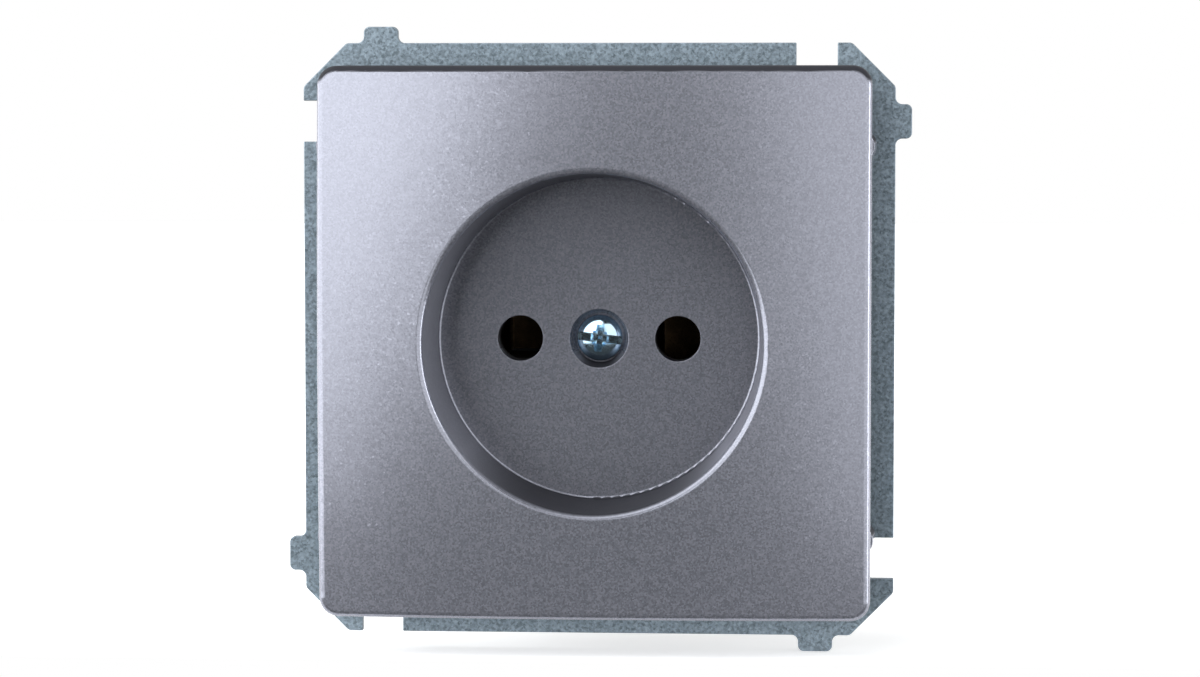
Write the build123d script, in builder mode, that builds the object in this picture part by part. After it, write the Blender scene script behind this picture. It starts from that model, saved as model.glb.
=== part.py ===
"""Flush two-pole wall socket insert: a cover with a round plug recess on a stamped support frame.

The wall plane is y = 0 and the front faces -Y. A level is a height in front of the wall, so what
lies inside the wall box has a negative level. X runs to the right and Z up. Everything behind the
cover repeats after half a turn about the socket's axis.
"""
from build123d import *
import os
from math import cos, radians, sin, tan

# Plug side
pin_spacing = 19.0
pin_hole_diameter = 5.5
pin_length = 19.0
pin_end_clearance = 1.1
recess_floor_diameter = 38.8
recess_depth = 12.5
recess_draft = 3.0
recess_rim_radius = 0.7
recess_corner_radius = 0.3

# Cover
cover_size = 65.2
cover_corner_radius = 2.4
cover_edge_radius = 0.8
cover_standoff = 10.8
cover_crown_radius = 420.0
cover_wall = 1.8
skirt_depth = 8.1
skirt_wall = 1.6
skirt_draft = 1.0
cup_wall = 1.4
recess_floor_wall = 2.0
rib_angle = 45.0
rib_thickness = 1.2
rib_depth = 3.2
lug_offset = 23.2
lug_radius = 2.35
lug_stand_out = 0.5
lug_depth = 4.2
lug_draft = 4.0

# Cover screw and the nut that takes it
cover_screw_diameter = 3.0
cover_screw_head_diameter = 5.5
cover_screw_head_height = 2.1
cover_screw_head_rounding = 0.9
cover_screw_length = 11.5
screw_pocket_mouth_diameter = 7.1
screw_pocket_seat_diameter = 6.0
screw_pocket_depth = 2.4
screw_boss_diameter = 9.6
cross_arm_width = 1.0
cross_arm_length = 3.6
cross_depth = 1.3
head_slot_width = 1.1
head_slot_depth = 0.9
nut_width = 5.5
nut_height = 2.4
nut_seat_wall = 3.2
nut_pocket_clearance = 0.1
screw_tip_chamfer = 0.4

# Support frame
frame_margin = 5.45
frame_thickness = 1.2
frame_corner_cut = 5.2
frame_corner_rounding = 0.8
tab_offset = 26.1
tab_width = 4.1
tab_projection = 1.95
tab_root = 1.0
tab_rounding = 0.7
tab_root_rounding = 0.8
notch_width = 4.9
notch_depth = 3.2
notch_rounding = 0.6
window_clearance = 1.0
box_screw_distance = 60.0
box_slot_width = 3.6
box_slot_length = 5.2
frame_screw_distance = 37.0
frame_screw_diameter = 2.9
frame_screw_head_diameter = 5.2
frame_screw_head_height = 1.6
frame_screw_head_rounding = 0.8
frame_screw_length = 8.0

# Base moulding
flange_margin = 2.0
flange_half_height = 26.6
flange_thickness = 3.5
base_width = 46.0
base_height = 46.0
base_corner_radius = 9.0
base_rear_rounding = 1.2
base_rear_wall = 2.6
well_clearance = 0.7
core_width = 9.0
core_height = 8.4
core_depth = 9.0
core_rounding = 1.2

# Disc over the contacts
disc_thickness = 1.8
disc_gap = 0.2
disc_clearance = 0.3
disc_screw_x = 8.5
disc_screw_z = 12.0
disc_screw_diameter = 2.2
disc_screw_head_diameter = 4.2
disc_screw_head_height = 1.1
disc_screw_head_slope = 45.0
disc_slot_width = 0.7
disc_slot_depth = 0.6
disc_screw_length = 7.0

# Contacts and terminals
strip_thickness = 0.8
leaf_width = 5.0
leaf_throat = 4.3
leaf_root_gap = 5.6
leaf_mouth_gap = 6.4
leaf_front_gap = 1.6
leaf_throat_depth = 4.6
leaf_bend_radius = 5.0
contact_clearance = 0.4
tail_width = 9.2
tail_rise = 3.4
block_x = 7.0
block_width = 10.0
block_height = 6.8
block_length = 9.6
block_foot = 10.6
block_rounding = 0.5
wire_pitch = 5.0
wire_bore_diameter = 2.8
wire_port_height = 4.6
wire_port_margin = 0.9
wire_port_rounding = 1.0
terminal_screw_diameter = 2.6
terminal_screw_head_diameter = 4.4
terminal_screw_head_height = 1.8
terminal_screw_back_off = 0.3
terminal_screw_stand = 1.4
terminal_access_margin = 0.3

# Spreading claws on slanted screws
claw_slant = 16.0
claw_seat_x = 27.2
claw_seat_level = 2.2
claw_seat_radius = 2.9
claw_seat_depth = 4.6
claw_opening_margin = 0.65
claw_screw_diameter = 3.0
claw_screw_head_diameter = 5.2
claw_screw_head_height = 1.9
claw_screw_length = 24.5
claw_strip = 1.2
claw_width = 10.0
claw_foot_reach = 21.0
claw_ramp_gap = 2.4
claw_arm_gap = 2.4
claw_arm_length = 8.4
claw_tooth_reach = 1.7
claw_tooth_rise = 1.6
claw_tooth_cut = 3.0
claw_collar_radius = 2.2
claw_collar_height = 1.2
claw_guide_clearance = 0.6
claw_running_gap = 0.15
claw_thread_gap = 0.1

# Fits
thread_clearance = 0.05
shank_clearance = 0.2
screw_hole_extra = 0.4
size_match = 0.01

# Levels in front of the wall that follow from the sizes above
cover_face_level = frame_thickness + cover_standoff
skirt_level = cover_face_level - skirt_depth
recess_floor_level = cover_face_level - recess_depth
recess_back_level = recess_floor_level - recess_floor_wall
disc_front_level = recess_back_level - disc_gap
well_floor_level = disc_front_level - disc_thickness
screw_seat_level = recess_floor_level - screw_pocket_depth
nut_front_level = well_floor_level - nut_seat_wall
pin_tip_level = recess_floor_level - pin_length
web_front_level = pin_tip_level - pin_end_clearance
cavity_floor_level = web_front_level - strip_thickness
leaf_front_level = well_floor_level - leaf_front_gap
leaf_throat_level = leaf_front_level - leaf_throat_depth
block_back_level = web_front_level + contact_clearance
block_mid_level = block_back_level + block_length / 2
block_front_level = block_back_level + block_length

# Widths, depths and radii that follow from the sizes above
base_depth = base_rear_wall - cavity_floor_level
draft_slope = tan(radians(recess_draft))
recess_floor_radius = recess_floor_diameter / 2
recess_mouth_radius = recess_floor_radius + recess_depth * draft_slope
cup_back_radius = recess_floor_radius + cup_wall
cup_wall_plane_radius = cup_back_radius - recess_floor_level * draft_slope
window_radius = cup_wall_plane_radius + frame_thickness * draft_slope + window_clearance
well_radius = cup_wall_plane_radius + well_clearance
skirt_size = cover_size + 2 * skirt_depth * tan(radians(skirt_draft))
pin_x = pin_spacing / 2
frame_size = box_screw_distance + 2 * frame_margin
flange_radius = claw_seat_x + flange_margin
cavity_half_width = leaf_mouth_gap / 2 + strip_thickness + contact_clearance
block_top = block_foot + block_height
wire_z = block_foot + block_height / 2
terminal_seat_z = block_top + terminal_screw_stand
claw_wall_x = claw_seat_x - (claw_seat_level - frame_thickness / 2) * tan(radians(claw_slant))
chamber_foot = leaf_width / 2 + contact_clearance
tail_foot = block_foot - tail_rise
wire_port_width = wire_pitch + wire_bore_diameter + 2 * wire_port_margin
terminal_screw_length = terminal_seat_z - wire_z - wire_bore_diameter / 2 - terminal_screw_back_off


def on_level(level):
    """Plane parallel to the wall at a level, with X to the right, Z up and the front as its normal."""
    return Plane.XZ.offset(level)


def half_turns(plane):
    """The plane and its copy half a turn about the socket's axis."""
    return plane, Plane(Location((0, 0, 0), (0, 180, 0)) * plane.location)


def claw_ramp_x(depth):
    """X of the slanted face that guides the right claw's foot, at a depth behind the wall."""
    slant = radians(claw_slant)
    along = (depth + claw_seat_level + claw_ramp_gap * sin(slant)) / cos(slant)
    return claw_seat_x - along * sin(slant) - claw_ramp_gap * cos(slant)


def add_screw(plane, head_diameter, head_height, shank_diameter, shank_length):
    """Adds a screw to the part being built: its head stands on the plane and its shank runs back."""
    with BuildSketch(plane) as head:
        Circle(head_diameter / 2)
    extrude(head.sketch, amount=head_height)
    with BuildSketch(plane) as shank:
        Circle(shank_diameter / 2)
    extrude(shank.sketch, amount=-shank_length)


def cut_slot(plane, length, width, depth):
    """Sinks a straight driver slot into the part being built from the plane of a head's top."""
    with BuildSketch(plane) as slot:
        Rectangle(length, width)
    extrude(slot.sketch, amount=-depth, mode=Mode.SUBTRACT)


def cut_cross(plane):
    """Sinks a cross recess into the part being built from the plane of a head's top."""
    cut_slot(plane, cross_arm_length, cross_arm_width, cross_depth)
    cut_slot(plane, cross_arm_width, cross_arm_length, cross_depth)


def save(part, label):
    """Names a finished piece and writes it."""
    part.label = label
    export_step(part, f"parts/{label}.step")


os.makedirs("parts", exist_ok=True)

# Planes of the pieces behind the cover: the right claw's screw seat and the left pole's terminal top
claw_axis = (sin(radians(claw_slant)), -cos(radians(claw_slant)), 0)
claw_outward = (cos(radians(claw_slant)), sin(radians(claw_slant)), 0)
claw_seat = Plane((claw_seat_x, -claw_seat_level, 0), x_dir=claw_outward, z_dir=claw_axis)
claw_section = Plane(claw_seat.origin, x_dir=claw_outward, z_dir=(0, 0, -1))
claw_arm_view = Plane(claw_seat.origin, x_dir=(0, 0, 1), z_dir=claw_outward)
terminal_top = Plane((-block_x, -block_mid_level, block_top), x_dir=(1, 0, 0), z_dir=(0, 0, 1))
terminal_seat = terminal_top.offset(terminal_screw_stand)

# Cover: crowned face, skirt, cup and screw boss are one moulding
inner_skirt_size = skirt_size - 2 * skirt_wall
rib_reach = (skirt_size / 2 - cover_corner_radius) / cos(radians(rib_angle))
rib_half_length = rib_reach + cover_corner_radius - skirt_wall / 2
rib_level = cover_face_level - cover_wall - rib_depth
crown_centre = (0, cover_crown_radius - cover_face_level, 0)
with BuildPart() as cover_hollow:
    with BuildSketch(on_level(skirt_level)):
        RectangleRounded(inner_skirt_size, inner_skirt_size, cover_corner_radius)
    extrude(amount=skirt_depth, taper=skirt_draft)
    with Locations(crown_centre):
        Sphere(cover_crown_radius - cover_wall, mode=Mode.INTERSECT)
    with BuildSketch(on_level(rib_level)):
        with PolarLocations(0, 2, start_angle=rib_angle, angular_range=180):
            Rectangle(2 * rib_half_length, rib_thickness)
    extrude(amount=rib_depth, mode=Mode.SUBTRACT)
with BuildPart() as cover_plate:
    with BuildSketch(on_level(skirt_level)):
        RectangleRounded(skirt_size, skirt_size, cover_corner_radius)
    extrude(amount=skirt_depth + cover_wall, taper=skirt_draft)
    with Locations(crown_centre):
        Sphere(cover_crown_radius, mode=Mode.INTERSECT)
    fillet(cover_plate.faces().sort_by(Axis.Y)[0].edges(), radius=cover_edge_radius)
    with BuildSketch(on_level(skirt_level)):
        with GridLocations(skirt_size + 2 * (lug_stand_out - lug_radius), 2 * lug_offset, 2, 2):
            Circle(lug_radius)
    extrude(amount=lug_depth, taper=lug_draft)
    add(cover_hollow.part, mode=Mode.SUBTRACT)
    with BuildSketch(Plane.XY):
        with BuildLine():
            Polyline(
                (0, -cover_face_level + cover_wall / 2),
                (recess_mouth_radius + cup_wall, -cover_face_level + cover_wall / 2),
                (cup_back_radius, -recess_back_level),
                (screw_boss_diameter / 2, -recess_back_level),
                (screw_boss_diameter / 2, -well_floor_level),
                (0, -well_floor_level),
                close=True,
            )
        make_face()
    revolve(axis=Axis.Y)
    with BuildSketch(Plane.XY):
        with BuildLine():
            Polyline(
                (0, -cover_face_level - cover_wall),
                (recess_mouth_radius + cover_wall * draft_slope, -cover_face_level - cover_wall),
                (recess_floor_radius, -recess_floor_level),
                (screw_pocket_mouth_diameter / 2, -recess_floor_level),
                (screw_pocket_seat_diameter / 2, -screw_seat_level),
                (cover_screw_diameter / 2 + shank_clearance, -screw_seat_level),
                (cover_screw_diameter / 2 + shank_clearance, -well_floor_level),
                (0, -well_floor_level),
                close=True,
            )
        make_face()
    revolve(axis=Axis.Y, mode=Mode.SUBTRACT)
    with BuildSketch(on_level(recess_floor_level)):
        with GridLocations(pin_spacing, 0, 2, 1):
            Circle(pin_hole_diameter / 2)
    extrude(amount=-recess_floor_wall, mode=Mode.SUBTRACT)
    rings = cover_plate.edges().filter_by(GeomType.CIRCLE)
    rims = rings.filter_by(lambda ring: recess_floor_radius < ring.radius < recess_mouth_radius)
    fillet(rims.sort_by(Axis.Y)[0], radius=recess_rim_radius)
    rings = cover_plate.edges().filter_by(GeomType.CIRCLE)
    corners = rings.filter_by(lambda ring: abs(ring.radius - recess_floor_radius) < size_match)
    fillet(corners.sort_by(Axis.Y)[-1], radius=recess_corner_radius)
save(cover_plate.part, "cover_plate")

# Cover screw with a cross recess and a slot right across its head
cover_head_top = on_level(screw_seat_level + cover_screw_head_height)
with BuildPart() as cover_screw:
    add_screw(on_level(screw_seat_level), cover_screw_head_diameter, cover_screw_head_height,
              cover_screw_diameter, cover_screw_length)
    fillet(cover_screw.faces().sort_by(Axis.Y)[0].edges(), radius=cover_screw_head_rounding)
    chamfer(cover_screw.faces().sort_by(Axis.Y)[-1].edges(), length=screw_tip_chamfer)
    cut_cross(cover_head_top)
    cut_slot(cover_head_top, cover_screw_head_diameter, head_slot_width, head_slot_depth)
save(cover_screw.part, "cover_screw")

# Square nut for the cover screw, dropped into the base from the rear
with BuildPart() as cover_nut:
    with BuildSketch(on_level(nut_front_level)):
        Rectangle(nut_width, nut_width)
        Circle(cover_screw_diameter / 2 + thread_clearance, mode=Mode.SUBTRACT)
    extrude(amount=-nut_height)
save(cover_nut.part, "cover_nut")

# Support frame: each side has a tab at one end and the notch for a neighbour's tab at the other
side = frame_size / 2
with BuildPart() as support_frame:
    with BuildSketch(on_level(0)) as blank:
        Rectangle(frame_size, frame_size)
        chamfer(blank.vertices(), length=frame_corner_cut)
        fillet(blank.vertices(), radius=frame_corner_rounding)
        with PolarLocations(side, 4):
            with Locations(((tab_projection - tab_root) / 2, tab_offset)):
                RectangleRounded(tab_projection + tab_root, tab_width, tab_rounding)
            with Locations((notch_rounding - notch_depth / 2, -tab_offset)):
                RectangleRounded(notch_depth + 2 * notch_rounding, notch_width, notch_rounding,
                                 mode=Mode.SUBTRACT)
        on_sides = blank.vertices().filter_by(lambda v: abs(max(abs(v.X), abs(v.Y)) - side) < size_match)
        roots = on_sides.filter_by(
            lambda v: abs(min(abs(v.X), abs(v.Y)) - tab_offset) < tab_width / 2 + size_match
            and (v.X * v.Y > 0) == (abs(v.X) > abs(v.Y))
        )
        fillet(roots, radius=tab_root_rounding)
        Circle(window_radius, mode=Mode.SUBTRACT)
        with GridLocations(claw_wall_x, 0, 2, 1):
            SlotCenterToCenter(claw_wall_x, 2 * (claw_seat_radius + claw_opening_margin), mode=Mode.SUBTRACT)
        with GridLocations(0, box_screw_distance, 1, 2):
            SlotOverall(box_slot_length, box_slot_width, rotation=90, mode=Mode.SUBTRACT)
        with GridLocations(frame_screw_distance, frame_screw_distance, 2, 2):
            Circle(frame_screw_diameter / 2 + shank_clearance, mode=Mode.SUBTRACT)
    extrude(amount=frame_thickness)
save(support_frame.part, "support_frame")

# Screws that hold the frame to the base
with BuildPart() as frame_screws:
    for place in GridLocations(frame_screw_distance, frame_screw_distance, 2, 2).locations:
        seat = Plane(on_level(frame_thickness).location * place)
        add_screw(seat, frame_screw_head_diameter, frame_screw_head_height,
                  frame_screw_diameter, frame_screw_length)
    fillet(frame_screws.faces().group_by(Axis.Y)[0].edges(), radius=frame_screw_head_rounding)
    chamfer(frame_screws.faces().group_by(Axis.Y)[-1].edges(), length=screw_tip_chamfer)
    for place in GridLocations(frame_screw_distance, frame_screw_distance, 2, 2).locations:
        cut_cross(Plane(on_level(frame_thickness + frame_screw_head_height).location * place))
save(frame_screws.part, "frame_screws")

# Base moulding: flange behind the frame, well for the cup, chambers for the poles, guides for the claws
with BuildPart() as socket_base:
    with BuildSketch(on_level(0)):
        Circle(flange_radius)
        Rectangle(2 * flange_radius, 2 * flange_half_height, mode=Mode.INTERSECT)
    extrude(amount=-flange_thickness)
    with BuildSketch(on_level(-flange_thickness)):
        RectangleRounded(base_width, base_height, base_corner_radius)
    extrude(amount=flange_thickness - base_depth)
    fillet(socket_base.faces().sort_by(Axis.Y)[-1].edges(), radius=base_rear_rounding)
    for seat in half_turns(claw_seat):
        with BuildSketch(seat):
            Circle(claw_seat_radius)
        extrude(amount=-claw_seat_depth)
        with BuildSketch(seat):
            Circle(claw_screw_diameter / 2 + shank_clearance)
        extrude(amount=-claw_screw_length, mode=Mode.SUBTRACT)
    with BuildSketch(Plane.XY):
        with BuildLine():
            Polyline(
                (claw_ramp_x(flange_thickness), flange_thickness),
                (claw_ramp_x(base_depth), base_depth),
                (flange_radius, base_depth),
                (flange_radius, flange_thickness),
                close=True,
            )
        make_face()
        mirror(about=Plane.YZ)
    extrude(amount=claw_width / 2 + claw_guide_clearance, both=True, mode=Mode.SUBTRACT)
    with BuildSketch(on_level(0)):
        Circle(well_radius)
    extrude(amount=well_floor_level, mode=Mode.SUBTRACT)
    for plane in half_turns(on_level(cavity_floor_level)):
        with BuildSketch(plane):
            with Locations((-pin_x, (block_foot - chamber_foot) / 2)):
                Rectangle(2 * cavity_half_width, block_foot + chamber_foot)
            with Locations((-block_x, (block_top + tail_foot) / 2)):
                Rectangle(block_width + 2 * contact_clearance, block_top - tail_foot + 2 * contact_clearance)
        extrude(amount=well_floor_level - cavity_floor_level, mode=Mode.SUBTRACT)
        with BuildSketch(plane):
            with Locations((-block_x, wire_z)):
                RectangleRounded(wire_port_width, wire_port_height, wire_port_rounding)
        extrude(amount=-base_rear_wall, mode=Mode.SUBTRACT)
    for plane in half_turns(terminal_top):
        with BuildSketch(plane):
            SlotOverall(
                wire_pitch + terminal_screw_head_diameter + 2 * terminal_access_margin,
                terminal_screw_head_diameter + 2 * terminal_access_margin,
            )
        extrude(amount=base_height / 2 - block_top, mode=Mode.SUBTRACT)
    for plane in half_turns(on_level(-base_depth)):
        with BuildSketch(plane):
            with Locations((disc_screw_x, disc_screw_z)):
                RectangleRounded(core_width, core_height, core_rounding)
        extrude(amount=core_depth, mode=Mode.SUBTRACT)
    with BuildSketch(on_level(-base_depth)):
        Rectangle(nut_width + 2 * nut_pocket_clearance, nut_width + 2 * nut_pocket_clearance)
    extrude(amount=base_depth + nut_front_level, mode=Mode.SUBTRACT)
    with BuildSketch(on_level(well_floor_level)):
        Circle(cover_screw_diameter / 2 + shank_clearance)
    extrude(amount=-nut_seat_wall, mode=Mode.SUBTRACT)
    with BuildSketch(on_level(0)):
        with GridLocations(frame_screw_distance, frame_screw_distance, 2, 2):
            Circle(frame_screw_diameter / 2 + thread_clearance)
    extrude(amount=frame_thickness - frame_screw_length - screw_hole_extra, mode=Mode.SUBTRACT)
    for plane in half_turns(on_level(disc_front_level)):
        with BuildSketch(plane):
            with Locations((disc_screw_x, disc_screw_z)):
                Circle(disc_screw_diameter / 2 + thread_clearance)
        extrude(amount=-disc_screw_length - screw_hole_extra, mode=Mode.SUBTRACT)
save(socket_base.part, "socket_base")

# Disc that closes the chambers and guides the plug pins
with BuildPart() as contact_disc:
    with BuildSketch(on_level(disc_front_level)):
        Circle(well_radius - disc_clearance)
        Circle(screw_boss_diameter / 2 + disc_clearance, mode=Mode.SUBTRACT)
        with GridLocations(pin_spacing, 0, 2, 1):
            Circle(pin_hole_diameter / 2, mode=Mode.SUBTRACT)
    extrude(amount=-disc_thickness)
    for plane in half_turns(on_level(disc_front_level)):
        with Locations(plane.location * Location((disc_screw_x, disc_screw_z, 0))):
            CounterSinkHole(disc_screw_diameter / 2 + shank_clearance,
                            disc_screw_head_diameter / 2 + thread_clearance, depth=disc_thickness,
                            counter_sink_angle=2 * disc_screw_head_slope)
save(contact_disc.part, "contact_disc")

# Countersunk screws that hold the disc in the well
with BuildPart() as disc_screws:
    for plane in half_turns(on_level(disc_front_level)):
        seat = Plane(plane.location * Location((disc_screw_x, disc_screw_z, 0)))
        with BuildSketch(seat):
            Circle(disc_screw_head_diameter / 2)
        extrude(amount=-disc_screw_head_height, taper=disc_screw_head_slope)
        with BuildSketch(seat):
            Circle(disc_screw_diameter / 2)
        extrude(amount=-disc_screw_length)
        cut_slot(seat, disc_screw_head_diameter, disc_slot_width, disc_slot_depth)
save(disc_screws.part, "disc_screws")


def contact_clip():
    """Left contact: two sprung leaves for the plug pin, their web and the tail under the terminal."""
    leaf_root_level = web_front_level - strip_thickness / 2
    with BuildPart() as clip:
        with BuildSketch(on_level(cavity_floor_level)):
            with Locations((-pin_x, (block_foot - leaf_width / 2) / 2)):
                Rectangle(leaf_root_gap + 2 * strip_thickness, block_foot + leaf_width / 2)
            with Locations((-block_x, (block_foot + tail_foot) / 2)):
                Rectangle(tail_width, tail_rise)
        extrude(amount=strip_thickness)
        with BuildSketch(Plane.XY.offset(block_foot - strip_thickness)):
            with Locations((-block_x, -(block_front_level + cavity_floor_level) / 2)):
                Rectangle(tail_width, block_front_level - cavity_floor_level)
        extrude(amount=strip_thickness)
        for way in (-1, 1):
            with BuildSketch(Plane.XY):
                with BuildLine():
                    FilletPolyline(
                        (-pin_x + way * (leaf_root_gap + strip_thickness) / 2, -leaf_root_level),
                        (-pin_x + way * (leaf_throat + strip_thickness) / 2, -leaf_throat_level),
                        (-pin_x + way * (leaf_mouth_gap + strip_thickness) / 2, -leaf_front_level),
                        radius=leaf_bend_radius,
                    )
                trace(line_width=strip_thickness)
            extrude(amount=leaf_width / 2, both=True)
    return clip.part


def terminal_block():
    """Left terminal: a brass block with two wire bores from the rear and two screw holes from above."""
    with BuildPart() as block:
        with BuildSketch(on_level(block_back_level)):
            with Locations((-block_x, wire_z)):
                RectangleRounded(block_width, block_height, block_rounding)
                with GridLocations(wire_pitch, 0, 2, 1):
                    Circle(wire_bore_diameter / 2, mode=Mode.SUBTRACT)
        extrude(amount=block_length)
        with BuildSketch(terminal_top):
            with GridLocations(wire_pitch, 0, 2, 1):
                Circle(terminal_screw_diameter / 2 + thread_clearance)
        extrude(amount=-block_height / 2, mode=Mode.SUBTRACT)
    return block.part


def spreading_claw():
    """Right claw: a bent strip whose threaded foot rides the slanted screw; two teeth end its arm."""
    foot_back = -claw_foot_reach - claw_strip
    arm_outer = claw_arm_gap + claw_strip
    arm_end = foot_back + claw_arm_length
    tooth_end = arm_end + claw_tooth_reach
    with BuildPart() as claw:
        with BuildSketch(claw_section) as section:
            with BuildLine():
                Polyline(
                    (claw_running_gap - claw_ramp_gap, foot_back),
                    (arm_outer, foot_back),
                    (arm_outer, arm_end),
                    (arm_outer + claw_tooth_rise, tooth_end),
                    (claw_arm_gap, arm_end + claw_strip / 2),
                    (claw_arm_gap, -claw_foot_reach),
                    (claw_running_gap - claw_ramp_gap, -claw_foot_reach),
                    close=True,
                )
            make_face()
            fillet(section.vertices().sort_by_distance((arm_outer, foot_back))[0], radius=claw_strip)
        extrude(amount=claw_width / 2, both=True)
        with BuildSketch(claw_seat.offset(foot_back)):
            Circle(claw_collar_radius)
        extrude(amount=-claw_collar_height)
        with BuildSketch(claw_seat):
            Circle(claw_screw_diameter / 2 + claw_thread_gap)
        extrude(amount=-claw_screw_length, mode=Mode.SUBTRACT)
        with BuildSketch(claw_arm_view):
            with BuildLine():
                Polyline((-claw_tooth_cut / 2, tooth_end), (0, arm_end - claw_strip),
                         (claw_tooth_cut / 2, tooth_end), close=True)
            make_face()
            for way in (-1, 1):
                with BuildLine():
                    Polyline((way * claw_width / 2, arm_end - claw_strip), (way * claw_width / 2, tooth_end),
                             (way * (claw_width - claw_tooth_cut) / 2, tooth_end), close=True)
                make_face()
        extrude(amount=arm_outer + claw_tooth_rise, mode=Mode.SUBTRACT)
    return claw.part


# Each pole and each claw: the right pole and the left claw are half a turn from their partners
save(contact_clip(), "contact_left")
save(contact_clip().rotate(Axis.Y, 180), "contact_right")
save(terminal_block(), "terminal_left")
save(terminal_block().rotate(Axis.Y, 180), "terminal_right")
save(spreading_claw(), "claw_right")
save(spreading_claw().rotate(Axis.Y, 180), "claw_left")

# Wire clamping screws, backed off clear of the wire bores
with BuildPart() as terminal_screws:
    for plane in half_turns(terminal_seat):
        for place in GridLocations(wire_pitch, 0, 2, 1).locations:
            seat = Plane(plane.location * place)
            add_screw(seat, terminal_screw_head_diameter, terminal_screw_head_height,
                      terminal_screw_diameter, terminal_screw_length)
            cut_slot(seat.offset(terminal_screw_head_height), terminal_screw_head_diameter,
                     head_slot_width, head_slot_depth)
save(terminal_screws.part, "terminal_screws")

# Slanted claw screws
with BuildPart() as claw_screws:
    for seat in half_turns(claw_seat):
        add_screw(seat, claw_screw_head_diameter, claw_screw_head_height,
                  claw_screw_diameter, claw_screw_length)
        head_top = seat.offset(claw_screw_head_height)
        cut_cross(head_top)
        cut_slot(head_top, claw_screw_head_diameter, head_slot_width, head_slot_depth)
save(claw_screws.part, "claw_screws")
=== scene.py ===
"""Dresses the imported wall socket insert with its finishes, threaded screws, stamped edges, studio and camera.

Lengths are in metres in the part's own frame: the wall plane is y = 0, the plug side faces -Y and Z is up.
Screws and the seats under their heads are given in millimetres.
"""
import logging
import math
from dataclasses import dataclass
from enum import Enum
from functools import reduce
from typing import Any

import bmesh
import bpy
from bpy.types import Material, Mesh, Node, NodeSocket, NodeTree, Object, Scene
from mathutils import Matrix, Vector


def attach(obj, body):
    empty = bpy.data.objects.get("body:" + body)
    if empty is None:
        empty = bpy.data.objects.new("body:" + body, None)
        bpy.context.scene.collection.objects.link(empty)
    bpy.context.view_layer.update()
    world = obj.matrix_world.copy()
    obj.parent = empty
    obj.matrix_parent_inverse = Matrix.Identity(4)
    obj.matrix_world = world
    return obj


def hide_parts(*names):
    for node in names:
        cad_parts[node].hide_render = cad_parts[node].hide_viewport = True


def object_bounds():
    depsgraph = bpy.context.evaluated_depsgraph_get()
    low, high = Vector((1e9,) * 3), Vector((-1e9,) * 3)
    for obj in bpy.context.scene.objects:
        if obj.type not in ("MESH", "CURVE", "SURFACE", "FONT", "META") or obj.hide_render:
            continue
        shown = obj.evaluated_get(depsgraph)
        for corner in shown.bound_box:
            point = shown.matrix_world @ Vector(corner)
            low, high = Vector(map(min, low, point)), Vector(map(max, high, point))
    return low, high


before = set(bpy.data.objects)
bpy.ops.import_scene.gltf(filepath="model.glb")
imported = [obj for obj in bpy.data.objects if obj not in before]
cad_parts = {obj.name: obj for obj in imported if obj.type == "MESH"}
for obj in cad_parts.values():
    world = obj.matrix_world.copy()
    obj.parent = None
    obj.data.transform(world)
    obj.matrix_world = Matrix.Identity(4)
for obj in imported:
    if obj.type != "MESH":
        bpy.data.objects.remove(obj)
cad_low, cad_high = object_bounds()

log = logging.getLogger("wall_socket")

Colour = tuple[float, float, float]
Point = tuple[float, float, float]
Span = tuple[float, float]

MM = 0.001
WHITE: Colour = (1.0, 1.0, 1.0)
FRONT: Point = (0.0, -1.0, 0.0)
WELD_REACH = 0.002 * MM
FLAT_ANGLE = 0.4
SHARP_ANGLE = 32.0


def opaque(colour: Colour) -> tuple[float, float, float, float]:
    """Returns the colour with full alpha."""
    return (*colour, 1.0)


def spaced(inputs: dict[str, Any]) -> dict[str, Any]:
    """Returns the inputs with spaces for the underscores in their names."""
    return {key.replace("_", " "): value for key, value in inputs.items()}


@dataclass(frozen=True)
class Relief:
    """A fine relief: its marks to the metre, the share of it that shows and its depth."""

    per_metre: float
    strength: float
    depth: float


@dataclass(frozen=True)
class Wear:
    """Traces of use: the handling marks to the metre and how wide the edges are rubbed."""

    marks_per_metre: float
    reach: float


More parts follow.
